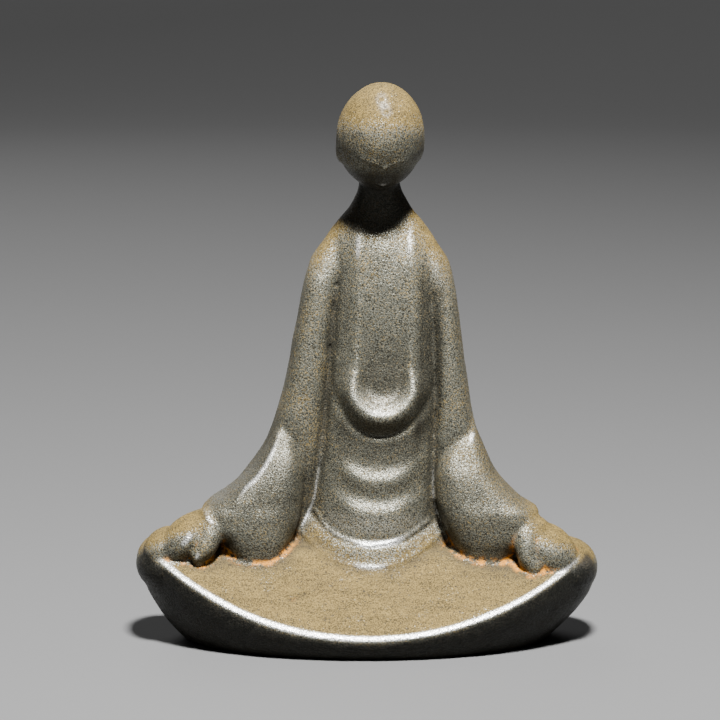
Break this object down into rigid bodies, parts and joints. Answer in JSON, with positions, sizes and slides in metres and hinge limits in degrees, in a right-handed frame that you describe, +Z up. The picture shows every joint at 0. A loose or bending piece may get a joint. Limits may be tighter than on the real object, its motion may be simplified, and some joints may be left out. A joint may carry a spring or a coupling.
{
  "type": "seated buddha statue",
  "caption": "Small seated meditating figure in a draped robe, bowed head, hands on the knees of a boat-shaped lap, with a flat underside.",
  "frame": {"origin": "middle of the foot's width and depth, on the ground plane", "axes": "+Z up, -Y towards the front of the figure, +X to the right of someone who looks at its front"},
  "size_m": [0.093, 0.0458, 0.1129],
  "materials": {
    "patinated_iron": "rough cast grain under a grey-olive patina, ochre on what faces up and orange rust in the crevices"
  },
  "bodies": {
    "root": {"seated_figure": "patinated_iron"}
  },
  "joints": []
}
